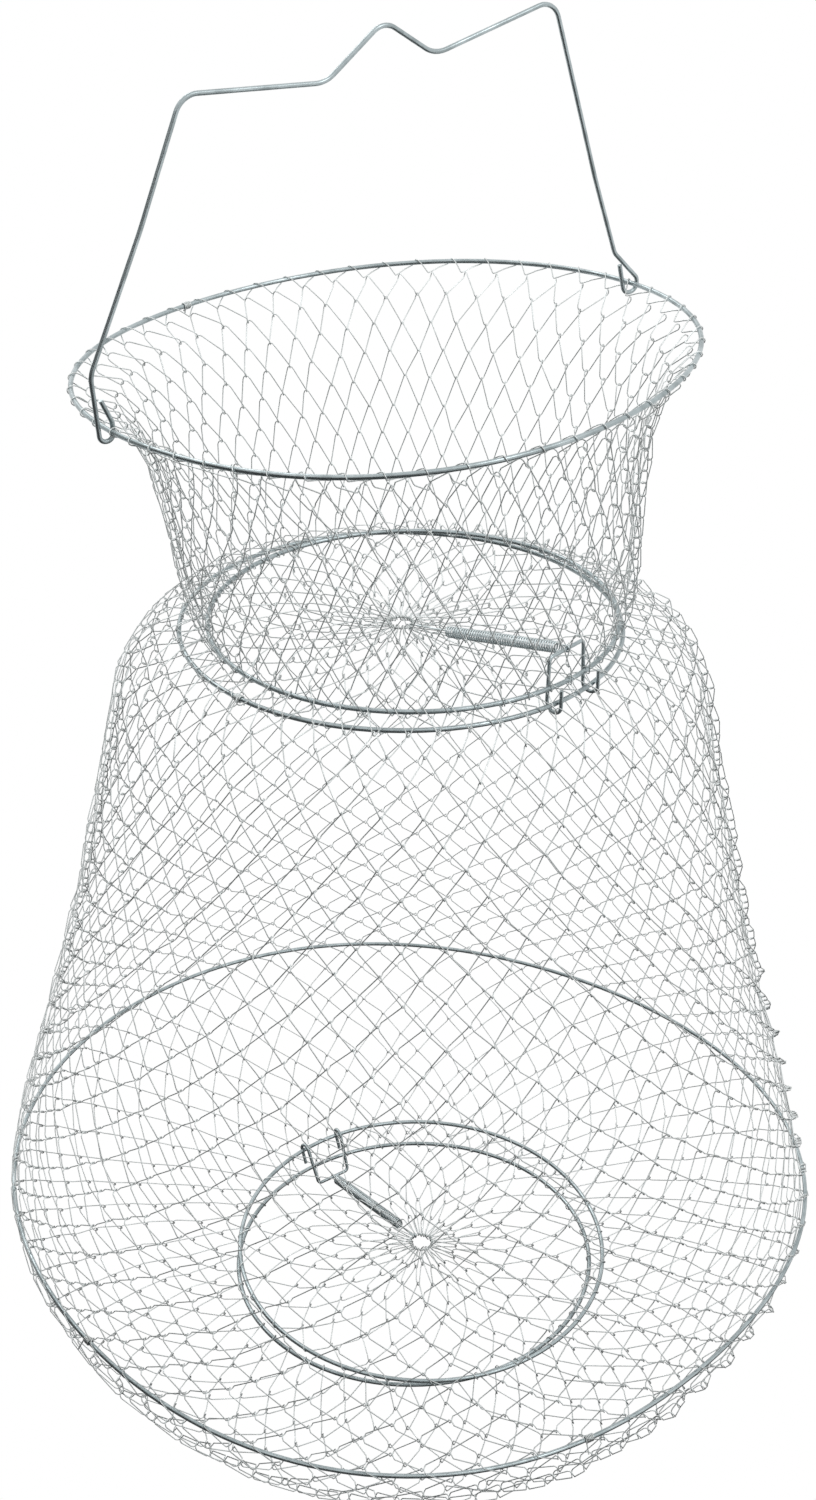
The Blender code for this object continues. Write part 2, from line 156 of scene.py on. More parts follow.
def rounded(corners: Sequence[Vector], bends: Sequence[float], steps: int) -> list[Vector]:
    """A route through corners, each rounded by an arc.

    Args:
        corners: The corners, with the two ends.
        bends: The radius of the arc at each corner between the ends.
        steps: How many straight pieces make one arc.

    Returns:
        The points of the route.
    """
    route = [corners[0]]
    for before, corner, after, bend in zip(corners, corners[1:], corners[2:], bends):
        came = (before - corner).normalized()
        goes = (after - corner).normalized()
        half = acos(max(-1.0, min(1.0, came.dot(goes)))) / 2
        centre = corner + (came + goes).normalized() * (bend / sin(half))
        first = corner + came * (bend / tan(half)) - centre
        last = corner + goes * (bend / tan(half)) - centre
        sweep = first.angle(last)
        for k in range(steps + 1):
            share = k / steps
            turned = first * sin((1 - share) * sweep) + last * sin(share * sweep)
            route.append(centre + turned / sin(sweep))
    route.append(corners[-1])
    return route


@dataclass(frozen=True)
class Route:
    """The middle line of one length of wire."""

    points: Sequence[Vector]
    closed: bool = False


@dataclass(frozen=True)
class Gauge:
    """A thickness of wire and how round its mesh is: four sides, and two more for each facet."""

    thickness: float
    facets: int


@dataclass(frozen=True)
class ZincFinish:
    """Zinc plating on drawn wire, with brighter and duller patches.

    Attributes:
        name: The material's name.
        slot: The record's material slot. Not used.
        bright: Colour of the clean plating.
        dull: Colour where the plating has gone matt.
        roughness: Roughness of the clean and of the dull plating.
        patch: Size of the patches.
        grain: Size of the fine grain that the bump follows.
        relief: Strength of the bump.
    """

    name: str
    slot: str
    bright: tuple[float, float, float]
    dull: tuple[float, float, float]
    roughness: tuple[float, float]
    patch: float
    grain: float
    relief: float

    def material(self) -> bpy.types.Material:
        """Builds the material, unless it is there already.

        Returns:
            The material.
        """
        made = bpy.data.materials.get(self.name)
        if made is not None:
            return made
        made = bpy.data.materials.new(self.name)
        made.use_nodes = True
        nodes = made.node_tree.nodes
        links = made.node_tree.links
        shader = nodes["Principled BSDF"]
        shader.inputs["Metallic"].default_value = 1.0
        place = nodes.new("ShaderNodeTexCoord")
        patches = nodes.new("ShaderNodeTexNoise")
        patches.inputs["Scale"].default_value = 1 / self.patch
        patches.inputs["Detail"].default_value = 5.0
        patches.inputs["Roughness"].default_value = 0.6
        links.new(place.outputs["Object"], patches.inputs["Vector"])
        colours = nodes.new("ShaderNodeValToRGB")
        dull_stop, bright_stop = colours.color_ramp.elements
        dull_stop.position, bright_stop.position = PATCH_RANGE
        dull_stop.color = (*self.dull, 1.0)
        bright_stop.color = (*self.bright, 1.0)
        links.new(patches.outputs["Fac"], colours.inputs["Fac"])
        links.new(colours.outputs["Color"], shader.inputs["Base Color"])
        gloss = nodes.new("ShaderNodeMapRange")
        gloss.inputs["From Min"].default_value = PATCH_RANGE[0]
        gloss.inputs["From Max"].default_value = PATCH_RANGE[1]
        gloss.inputs["To Min"].default_value = self.roughness[1]
        gloss.inputs["To Max"].default_value = self.roughness[0]
        links.new(patches.outputs["Fac"], gloss.inputs["Value"])
        links.new(gloss.outputs["Result"], shader.inputs["Roughness"])
        grain = nodes.new("ShaderNodeTexNoise")
        grain.inputs["Scale"].default_value = 1 / self.grain
        grain.inputs["Detail"].default_value = 2.0
        links.new(place.outputs["Object"], grain.inputs["Vector"])
        relief = nodes.new("ShaderNodeBump")
        relief.inputs["Strength"].default_value = self.relief
        relief.inputs["Distance"].default_value = self.grain / 4
        links.new(grain.outputs["Fac"], relief.inputs["Height"])
        links.new(relief.outputs["Normal"], shader.inputs["Normal"])
        return made


HOOP_ZINC = ZincFinish(
    name="bright_hoop_zinc",
    slot="hoop_wire",
    bright=(0.46, 0.52, 0.535),
    dull=(0.33, 0.38, 0.39),
    roughness=(0.24, 0.44),
    patch=9 * MM,
    grain=0.5 * MM,
    relief=0.12,
)
NET_ZINC = ZincFinish(
    name="net_wire_zinc",
    slot="net_wire",
    bright=(0.73, 0.77, 0.77),
    dull=(0.60, 0.625, 0.62),
    roughness=(0.32, 0.50),
    patch=12 * MM,
    grain=0.3 * MM,
    relief=0.30,
)
SPRING_ZINC = ZincFinish(
    name="spring_wire_zinc",
    slot="spring_wire",
    bright=(0.66, 0.73, 0.745),
    dull=(0.50, 0.555, 0.565),
    roughness=(0.20, 0.36),
    patch=5 * MM,
    grain=0.3 * MM,
    relief=0.25,
)

HOOP_GAUGE = Gauge(2.0 * MM, 4)
BAIL_GAUGE = Gauge(1.9 * MM, 4)
BRACKET_GAUGE = Gauge(1.6 * MM, 4)
SPRING_GAUGE = Gauge(0.7 * MM, 2)
EYE_GAUGE = Gauge(0.9 * MM, 3)
NET_GAUGE = Gauge(0.50 * MM, 1)
TIE_GAUGE = Gauge(0.6 * MM, 2)
CLEARANCE = 0.3 * MM


@dataclass
class Bench:
    """Where wire is bent into pieces, and each piece is put in its place under the hang point."""

    hang_point: Vector

    def bend(self, name: str, gauge: Gauge, routes: Iterable[Route], finish: ZincFinish) -> bpy.types.Object:
        """Makes one piece of round wire.

        Args:
            name: The piece's name.
            gauge: The wire.
            routes: The middle line of each length of wire.
            finish: What the wire is plated with.

        Returns:
            A mesh object at the origin, with its place in its mesh.
        """
        line = bpy.data.curves.new(name + "_line", "CURVE")
        line.dimensions = "3D"
        line.bevel_depth = gauge.thickness / 2
        line.bevel_resolution = gauge.facets
        line.use_fill_caps = True
        line.twist_mode = "MINIMUM"
        for route in routes:
            spline = line.splines.new("POLY")
            spline.points.add(len(route.points) - 1)
            for spot, point in zip(spline.points, route.points):
                spot.co = (*(point - self.hang_point), 1.0)
            spline.use_cyclic_u = route.closed
        drawn = placed(name + "_line", line)
        depsgraph = bpy.context.evaluated_depsgraph_get()
        mesh = bpy.data.meshes.new_from_object(drawn.evaluated_get(depsgraph))
        bpy.data.objects.remove(drawn)
        bpy.data.curves.remove(line)
        mesh.name = name
        mesh.materials.clear()
        mesh.materials.append(finish.material())
        mesh.polygons.foreach_set("use_smooth", [True] * len(mesh.polygons))
        piece = placed(name, mesh)
        LOG.info("%s: %d faces", name, len(mesh.polygons))
        return piece

    def fix(self, piece: bpy.types.Object, body: Body, *nodes: str) -> None:
        """Lets a piece ride on a body in place of the part's plain nodes."""
        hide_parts(*nodes)
        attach(piece, body.value)

    def stretch(
        self, piece: bpy.types.Object, bodies: tuple[Body, Body], ends: tuple[Vector, Vector], node: str
    ) -> None:
        """Puts a piece in place of one of the part's plain nodes, which it hides, and leaves the piece where
        it is.

        Args:
            piece: The piece.
            bodies: The body that its start follows, and the one that its end follows. Not used.
            ends: Two points over the middle of the belly hoop, which it moves under the hang point.
            node: The node that it stands for.
        """
        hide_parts(node)
        start, end = (point - self.hang_point for point in ends)
        tuple(start)
        tuple(end)
        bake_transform(piece)


@dataclass(frozen=True)
class Hoop:
    """A hoop of bent wire, with the slope that it hangs at and the lobes that bending left in it.

    Attributes:
        radius: From the centre to the middle of the wire.
        height: Over the middle of the belly hoop.
        offset: Where its centre lies, level.
        slope: How far it rises towards +X and +Y, in degrees.
        lobes: Waves of its outline, each as count, size and azimuth of a peak.
        segments: How many straight pieces its mesh has.
    """

    radius: float
    height: float
    offset: tuple[float, float] = (0.0, 0.0)
    slope: tuple[float, float] = (0.0, 0.0)
    lobes: tuple[tuple[int, float, float], ...] = ()
    segments: int = 144

    @property
    def centre(self) -> Vector:
        """The level offset of the centre."""
        return Vector((*self.offset, 0.0))

    @property
    def rise(self) -> Vector:
        """How far the hoop rises for a metre along each level axis."""
        return Vector((tan(radians(self.slope[0])), tan(radians(self.slope[1])), 0.0))

    def over(self, height: float) -> Vector:
        """The point square over the hoop's centre, or under it where the height is below zero."""
        square = (UP - self.rise).normalized()
        return self.centre + UP * self.height + square * height

    def lobe(self, azimuth: float) -> float:
        """How far the lobes push the wire out at an azimuth."""
        return sum(size * cos(radians(count * (azimuth - peak))) for count, size, peak in self.lobes)

    def at(self, radius: float, azimuth: float) -> Vector:
        """A point of the hoop's own plane, at a radius from its centre."""
        across = heading(azimuth) * radius
        return self.centre + across + UP * (self.height + self.rise.dot(across))

    def point(self, azimuth: float, outwards: float = 0.0) -> Vector:
        """A point on the middle of the wire, or beside it."""
        return self.at(self.radius + self.lobe(azimuth) + outwards, azimuth)

    def ring(self) -> Route:
        """The middle line of the whole hoop."""
        return Route([self.point(360 * k / self.segments) for k in range(self.segments)], closed=True)


BELLY = Hoop(
    0.1900,
    0.0,
    slope=(-2.43, -0.26),
    lobes=((2, 1.0 * MM, 24.0), (3, 4.2 * MM, 18.5), (4, 2.3 * MM, 3.5)),
    segments=216,
)
NECK = Hoop(0.0863, 0.2983, offset=(0.0023, -0.0004), slope=(0.49, 0.20))
MOUTH = Hoop(
    0.1236,
    0.4112,
    offset=(-0.0078, 0.0),
    slope=(4.29, -0.16),
    lobes=((2, 1.0 * MM, 80.0), (3, 2.2 * MM, 44.5), (4, 1.4 * MM, -2.0)),
    segments=180,
)
BASE = Hoop(0.0879, -0.0585, offset=(0.0034, -0.0019), slope=(1.00, -1.00))
NECK_DOOR = Hoop(0.0932, 0.2943, offset=(-0.0028, -0.0005), slope=(-0.40, 0.40))
BASE_DOOR = Hoop(0.0907, -0.0509, offset=(0.0072, -0.0004), slope=(-1.37, 1.40))


@dataclass
class NetSurface:
    """The surface of revolution that a net hangs in, from an upper hoop down to a lower one.

    Attributes:
        top: The upper hoop.
        bottom: The lower hoop.
        outline: Radius and height between the hoops, from the top down.
        fade: How fast the upper hoop's offset, slope and lobes give way to the lower one's. One is even.
        belly: How far the net hangs out of line with its hoops, level.
        belly_at: Where down its length it does so most, as a share.
        steps: How many straight pieces the outline has between two of its knots.
    """

    top: Hoop
    bottom: Hoop
    outline: tuple[tuple[float, float], ...]
    fade: float = 1.0
    belly: tuple[float, float] = (0.0, 0.0)
    belly_at: float = 0.3
    steps: int = 10
    curve: list[Vector] = field(init=False)
    run: list[float] = field(init=False)

    def __post_init__(self) -> None:
        """Draws the outline and measures along it."""
        ends = (self.top.radius, self.top.height), (self.bottom.radius, self.bottom.height)
        knots = [Vector(pair) for pair in (ends[0], *self.outline, ends[1])]
        knots = [knots[0] * 2 - knots[1], *knots, knots[-1] * 2 - knots[-2]]
        self.curve = []
        for four in zip(knots, knots[1:], knots[2:], knots[3:]):
            self.curve += [smooth_between(*four, k / self.steps) for k in range(self.steps)]
        self.curve.append(knots[-2])
        self.run = [0.0]
        for a, b in zip(self.curve, self.curve[1:]):
            self.run.append(self.run[-1] + (b - a).length)

    @property
    def length(self) -> float:
        """How far it is down the net from hoop to hoop."""
        return self.run[-1]

    def place(self, distance: float) -> Vector:
        """Finds a place on the outline, on past its ends too.

        Args:
            distance: How far down the net it lies.

        Returns:
            Its radius and its height.
        """
        k = 1
        while k < len(self.run) - 1 and self.run[k] < distance:
            k += 1
        share = (distance - self.run[k - 1]) / (self.run[k] - self.run[k - 1])
        return self.curve[k - 1].lerp(self.curve[k], share)

    def point(self, distance: float, azimuth: float) -> Vector:
        """Finds a point of the net, which takes up the offset, slope and lobes of both its hoops.

        Args:
            distance: How far down the net it lies.
            azimuth: Where it lies round the basket.

        Returns:
            The point.
        """
        run = max(0.0, min(1.0, distance / self.length))
        share = run**self.fade
        radius, height = self.place(distance)
        radius += part_way(self.top.lobe(azimuth), self.bottom.lobe(azimuth), share)
        across = heading(azimuth) * radius
        rise = self.top.rise.lerp(self.bottom.rise, share)
        centre = self.top.centre.lerp(self.bottom.centre, share)
        bulge = run ** (log(0.5) / log(self.belly_at))
        centre += Vector((*self.belly, 0.0)) * (4 * bulge * (1 - bulge))
        return centre + across + UP * (height + rise.dot(across))


@dataclass
class Sleeve:
    """Several net surfaces, one below the other, that one net runs down without a break."""

    surfaces: Sequence[NetSurface]

    @property
    def length(self) -> float:
        """How far it is down the whole sleeve."""
        return sum(surface.length for surface in self.surfaces)

    def within(self, distance: float) -> tuple[NetSurface, float]:
        """Finds the surface that a distance falls in.

        Args:
            distance: How far down the whole sleeve it is.

        Returns:
            The surface, and how far down that surface it is.
        """
        for surface in self.surfaces[:-1]:
            if distance <= surface.length:
                return surface, distance
            distance -= surface.length
        return self.surfaces[-1], distance

    def radius(self, distance: float) -> float:
        """The radius at a distance down the sleeve."""
        surface, down = self.within(distance)
        return surface.place(down)[0]

    def point(self, distance: float, azimuth: float) -> Vector:
        """A point of the sleeve."""
        surface, down = self.within(distance)
        return surface.point(down, azimuth)


@dataclass
class Disc:
    """The flat surface that a door's net lies in, from its hoop inwards."""

    hoop: Hoop

    def radius(self, distance: float) -> float:
        """The radius at a distance in from the hoop."""
        return self.hoop.radius - distance

    def point(self, distance: float, azimuth: float) -> Vector:
        """A point of the disc."""
        return self.hoop.at(self.radius(distance), azimuth)


@dataclass
class Wander:
    """Small shifts of a net's knots, as handling leaves them in soft wire.

    Attributes:
        seed: Where the random draws start.
        shift: How far a knot strays sideways, down the net and outwards.
        held: Lines of knots that a hoop holds in place.
        held_share: What is left of the shifts on those lines.
        own_share: How much a knot takes of its own random draw.
        beside_share: How much it takes of each of three draws beside it.
    """

    seed: int
    shift: tuple[float, float, float]
    held: tuple[int, ...] = ()
    held_share: float = 0.25
    own_share: float = 0.6
    beside_share: float = 0.35

    def draw(self, lines: int, slots: int) -> list[list[Vector]]:
        """Draws the shifts.

        Args:
            lines: How many lines of knots the net has.
            slots: How many places a line has, of which every second one holds a knot.

        Returns:
            For each line, the shift at each of its places.
        """
        chance = Random(self.seed)
        raw = [[Vector([chance.gauss(0, 1) for _ in range(3)]) for _ in range(slots)] for _ in range(lines)]
        drawn = []
        for line in range(lines):
            reach = self.held_share if line in self.held else 1.0
            below = min(line + 1, lines - 1)
            row = []
            for slot in range(slots):
                after = (slot + 1) % slots
                beside = raw[line][after] + raw[below][slot] + raw[below][after]
                mean = raw[line][slot] * self.own_share + beside * self.beside_share
                row.append(Vector([value * part * reach for value, part in zip(mean, self.shift)]))
            drawn.append(row)
        return drawn


@dataclass(frozen=True)
class Knuckle:
    """Where two rows of a net hook into each other.

    Attributes:
        spot: Its middle.
        right: Its direction along the line of knots.
        down: Its direction down the net.
        out: Its direction through the net.
        half_width: Half of a bend's width.
    """

    spot: Vector
    right: Vector
    down: Vector
    out: Vector
    half_width: float

    def bend(self, coil: float, hook: float, steps: int, upper: bool) -> list[Vector]:
        """The half turn that a row's wire makes here.

        Args:
            coil: The bend's radius, which is half of the row's thickness.
            hook: How far the wire passes beyond the knuckle's middle.
            steps: How many straight pieces make the half turn.
            upper: True where this is the top of the row, which hangs on the valley above it.

        Returns:
            The points from left to right.
        """
        way = -1.0 if upper else 1.0
        points = []
        for k in range(steps + 1):
            turn = pi * (k / steps - 0.5)
            beyond = way * (hook - coil * (1 - cos(turn)))
            aside = self.half_width * 2 * turn / pi
            through = self.out * (way * coil * sin(turn))
            points.append(self.spot + self.right * aside + self.down * beyond - through)
        return points


@dataclass(frozen=True)
class Drift:
    """How far the turns of a net lie off their even places round a hoop, in degrees.

    Attributes:
        turn: How far all of them are turned.
        bunch: How far they bunch towards one side.
        azimuth: Where they lag most.
    """

    turn: float = 0.0
    bunch: float = 0.0
    azimuth: float = 0.0

    def shift(self, where: float) -> float:
        """How far the turn at an azimuth is moved."""
        return self.turn - self.bunch * cos(radians(where - self.azimuth))


EVEN = (Drift(), Drift())
MOUTH_DRIFT = Drift(turn=0.6, bunch=2.7, azimuth=-18.0)
FUNNEL_DRIFT = (MOUTH_DRIFT, Drift(turn=0.2, bunch=-5.6, azimuth=26.0))
BODY_DRIFT = (Drift(bunch=-5.0), Drift(bunch=-2.5))


@dataclass
class ChainLink:
    """Chain-link net, in which every row is one wire wound flat that hangs in the row above it.

    Attributes:
        columns: How many turns a row has round the basket.
        coil: Half of a row's thickness.
        hook: How far a bend passes beyond the middle of its knot.
        width: The bend's half width where the strands stand upright, and what a flat slope adds to it.
        bend_steps: How many straight pieces a bend has.
        near: How far the points beside a knot lie that give its directions.
        strand_range: The shortest and the longest strand that is tried.
        halvings: How often that range is halved.
        flattest: The most strands that a row's height goes into.
    """

    columns: int
    coil: float = 1.6 * MM
    hook: float = 0.4 * MM
    width: tuple[float, float] = (0.65 * MM, 0.35 * MM)
    bend_steps: int = 4
    near: float = 0.5 * MM
    strand_range: tuple[float, float] = (1 * MM, 60 * MM)
    halvings: int = 40
    flattest: float = 5.0

    @property
    def step(self) -> float:
        """Degrees from a knot to the next one of the line below."""
        return 180 / self.columns

    def stations(self, surface: Sleeve, first: float, last: float, rows: int) -> list[float]:
        """Distances of the lines of knots, so that all strands are equally long.

        Args:
            surface: What the net lies in.
            first: The distance of the first line.
            last: The distance of the last line.
            rows: How many rows of strands there are.

        Returns:
            The distances, one more than there are rows.
        """
        low, high = self.strand_range
        for _ in range(self.halvings):
            strand = (low + high) / 2
            least_drop = strand / self.flattest
            lines = [first]
            for _ in range(rows):
                aside = surface.radius(lines[-1]) * radians(self.step)
                lines.append(lines[-1] + sqrt(max(strand**2 - aside**2, least_drop**2)))
            if lines[-1] > last:
                high = strand
            else:
                low = strand
        return lines

    def knuckles(
        self,
        surface: Sleeve | Disc,
        lines: Sequence[float],
        azimuth: float,
        wander: Wander,
        drift: tuple[Drift, Drift] = EVEN,
    ) -> list[list[Knuckle]]:
        """Works out every place where rows may hook into each other.

        Args:
            surface: What the net lies in.
            lines: The distances of the lines of knots.
            azimuth: Where the first knot of the first line lies.
            wander: How the knots stray.
            drift: How the knots of the first line and of the last line are moved round.

        Returns:
            For each line, the knuckle at each of its places.
        """
        slots = 2 * self.columns
        shifts = wander.draw(len(lines), slots)
        near = self.near
        table = []
        for line, distance in enumerate(lines):
            pitch = surface.radius(distance) * radians(self.step)
            room = lines[min(line + 1, len(lines) - 1)] - lines[max(line - 1, 0)]
            steepness = pitch * 2 / room if 0 < line < len(lines) - 1 else pitch / room
            half_width = self.width[0] + self.width[1] * steepness
            turn = degrees(near / max(surface.radius(distance), near))
            row = []
            for slot in range(slots):
                even = azimuth + slot * self.step
                where = even + part_way(drift[0].shift(even), drift[1].shift(even), line / (len(lines) - 1))
                down = surface.point(distance + near, where) - surface.point(distance - near, where)
                right = surface.point(distance, where + turn) - surface.point(distance, where - turn)
                down.normalize()
                right.normalize()
                out = down.cross(right).normalized()
                shift = shifts[line][slot]
                spot = surface.point(distance, where) + right * shift[0] + down * shift[1] + out * shift[2]
                row.append(Knuckle(spot, right, down, out, half_width))
            table.append(row)
        return table

    def rows(self, table: Sequence[Sequence[Knuckle]]) -> list[Route]:
        """Winds the rows through their knuckles.

        Args:
            table: The knuckles of each line.

        Returns:
            One closed wire for each row.
        """
        routes = []
        for row in range(len(table) - 1):
            points = []
            for slot in range(2 * self.columns):
                upper = (slot + row) % 2 == 0
                knuckle = table[row if upper else row + 1][slot]
                points += knuckle.bend(self.coil, self.hook, self.bend_steps, upper)
            routes.append(Route(points, closed=True))
        return routes


@dataclass
class Lacing:
    """A thin wire wound round a hoop in one long spiral, which holds the end row of a net to it.

    Attributes:
        hoop: The hoop that it is wound on.
        turns: How many turns it has.
        azimuth: Where a turn crosses over the hoop.
        winding: One turn, as share of the turn, distance outwards and height in millimetres.
        drift: How the turns bunch round the hoop.
        seed: Where the random draws start.
        steps: How many straight pieces there are between two knots of the winding.
        lag: How far a turn may lie off its place, as a share of a turn.
        slack: The least and the most that a turn's far side is stretched outwards.
        slack_from: How far from the hoop's wire that starts, in millimetres.
    """

    hoop: Hoop
    turns: int
    azimuth: float
    winding: tuple[tuple[float, float, float], ...]
    drift: Drift = Drift()
    seed: int = 1
    steps: int = 2
    lag: float = 0.06
    slack: tuple[float, float] = (0.9, 1.15)
    slack_from: float = 2.0

    def route(self) -> Route:
        """Winds the wire.

        Returns:
            Its middle line.
        """
        chance = Random(self.seed)
        lags = [chance.uniform(-self.lag, self.lag) for _ in range(self.turns)]
        knots = []
        for turn in range(self.turns):
            slack = chance.uniform(*self.slack)
            for share, out, high in self.winding:
                along = share + part_way(lags[turn], lags[(turn + 1) % self.turns], share)
                stretch = slack if abs(out) > self.slack_from else 1.0
                knots.append((turn + along, out * stretch, high))
        count = len(knots)
        points = []
        for k in range(count):
            four = []
            for step in (-1, 0, 1, 2):
                index = k + step
                turn, out, high = knots[index % count]
                four.append(Vector((turn + self.turns * (index // count), out, high)))
            for step in range(self.steps):
                turn, out, high = smooth_between(*four, step / self.steps)
                where = self.azimuth + 360 * turn / self.turns
                where += self.drift.shift(where)
                points.append(self.hoop.point(where, out * MM) + UP * high * MM)
        return Route(points, closed=True)


# One turn of the lacing: share of the turn, distance outwards and height in millimetres
MOUTH_WINDING = (
    (0.0, -0.3, 1.4),
    (0.04, 1.2, 0.7),
    (0.08, 1.35, -0.4),
    (0.12, 0.6, -1.3),
    (0.35, -2.4, -2.0),
    (0.58, -5.3, -3.2),
    (0.66, -5.3, -2.6),
    (0.85, -2.4, 0.3),
)


@dataclass
class Knot:
    """A few tight turns of net wire on a hoop, with its two cut ends.

    Attributes:
        hoop: The hoop that it is wound on.
        azimuth: The middle of the winding.
        turns: How many turns it has.
        pitch: From one turn to the next.
        tails: The lengths of the two cut ends.
        tail_leans: How far the two cut ends lean outwards.
        tail_points: Where a cut end has its points, as shares of its length.
        curl_points: How many points a turn has.
    """

    hoop: Hoop
    azimuth: float
    turns: float = 4.5
    pitch: float = 0.72 * MM
    tails: tuple[float, float] = (4.0 * MM, 3.0 * MM)
    tail_leans: tuple[float, float] = (0.5, 0.4)
    tail_points: tuple[float, ...] = (0.2, 0.55, 1.0)
    curl_points: int = 12

    def route(self) -> Route:
        """Winds the wire.

        Returns:
            Its middle line.
        """
        radius = HOOP_GAUGE.thickness / 2 + TIE_GAUGE.thickness / 2 + CLEARANCE / 3
        steps = int(self.turns * self.curl_points)
        points = []
        for k in range(steps + 1):
            share = k / steps - 0.5
            where = self.azimuth + degrees(share * self.turns * self.pitch / self.hoop.radius)
            turn = 2 * pi * k / self.curl_points
            ring = heading(where) * cos(turn) + UP * sin(turn)
            points.append(self.hoop.point(where) + ring * radius)
        out = heading(self.azimuth)
        first = (points[0] - points[1]).normalized() + out * self.tail_leans[0]
        last = (points[-1] - points[-2]).normalized() + out * self.tail_leans[1]
        head = [points[0] + first * self.tails[0] * share for share in reversed(self.tail_points)]
        tail = [points[-1] + last * self.tails[1] * share for share in self.tail_points]
        return Route(head + points + tail)


@dataclass
class Bail:
    """The bent wire handle, as an outline over the line through its two feet.

    Every corner of the outline has its place sideways, its height and its bend radius. The top counts
    sideways from the middle, and a foot counts outwards from the mouth hoop, from its cut end round the
    hook to the kink.

    Attributes:
        foot_azimuths: Where the feet hook round the mouth hoop.
        lean: How far the bail leans out of its upright plane, in degrees.
        lift: How far the outline's base line lies over the hoop's wire.
        top: The legs, the shoulders, the valleys and the centre hump, from left to right.
        left_foot: The left foot.
        right_foot: The right foot.
        steps: How many straight pieces make a bend.
    """

    foot_azimuths: tuple[float, float] = (-149.0, 36.0)
    lean: float = 2.5
    lift: float = 0.4 * MM
    top: tuple[tuple[float, float, float], ...] = (
        (-0.1012, 0.0712, 0.150),
        (-0.0805, 0.1153, 0.009),
        (-0.0214, 0.1088, 0.012),
        (0.0045, 0.1267, 0.008),
        (0.0266, 0.1107, 0.012),
        (0.0821, 0.1222, 0.008),
        (0.1038, 0.0485, 0.060),
    )
    left_foot: tuple[tuple[float, float, float], ...] = (
        (0.0014, 0.0115, 0.0),
        (-0.0023, 0.0020, 0.004),
        (-0.0023, -0.0051, 0.0028),
        (0.0034, -0.0051, 0.0028),
        (0.0043, 0.0217, 0.012),
    )
    right_foot: tuple[tuple[float, float, float], ...] = (
        (-0.0046, 0.0080, 0.0),
        (-0.0018, -0.0052, 0.0035),
        (0.0049, -0.0052, 0.0035),
        (0.0049, 0.0004, 0.0036),
        (-0.0075, 0.0139, 0.008),
    )
    steps: int = 10

    def __post_init__(self) -> None:
        """Sets up the bail's plane."""
        left, right = (MOUTH.point(azimuth) for azimuth in self.foot_azimuths)
        self.half_span = (right - left).length / 2
        self.along = (right - left).normalized()
        upright = (UP - self.along * UP.dot(self.along)).normalized()
        side = self.along.cross(upright)
        self.up = (upright * cos(radians(self.lean)) + side * sin(radians(self.lean))).normalized()
        self.middle = (left + right) / 2 + self.up * self.lift

    def at(self, sideways: float, height: float) -> Vector:
        """A point of the bail's plane."""
        return self.middle + self.along * sideways + self.up * height

    def route(self) -> Route:
        """Bends the wire, from the left foot's end over the hump to the right foot's end.

        Returns:
            Its middle line.
        """
        left = [(-self.half_span - out, height, bend) for out, height, bend in self.left_foot]
        right = [(self.half_span + out, height, bend) for out, height, bend in reversed(self.right_foot)]
        outline = [*left, *self.top, *right]
        corners = [self.at(sideways, height) for sideways, height, _ in outline]
        return Route(rounded(corners, [bend for _, _, bend in outline[1:-1]], self.steps))

    def hang_point(self) -> Vector:
        """The spot under the hump that a hook carries."""
        crown = max(self.route().points, key=lambda point: (point - self.middle).dot(self.up))
        return crown - self.up * BAIL_GAUGE.thickness / 2

    def build(self, bench: Bench) -> None:
        """Makes the bail."""
        piece = bench.bend("bail_wire", BAIL_GAUGE, [self.route()], HOOP_ZINC)
        bench.fix(piece, Body.BAIL, "bail")


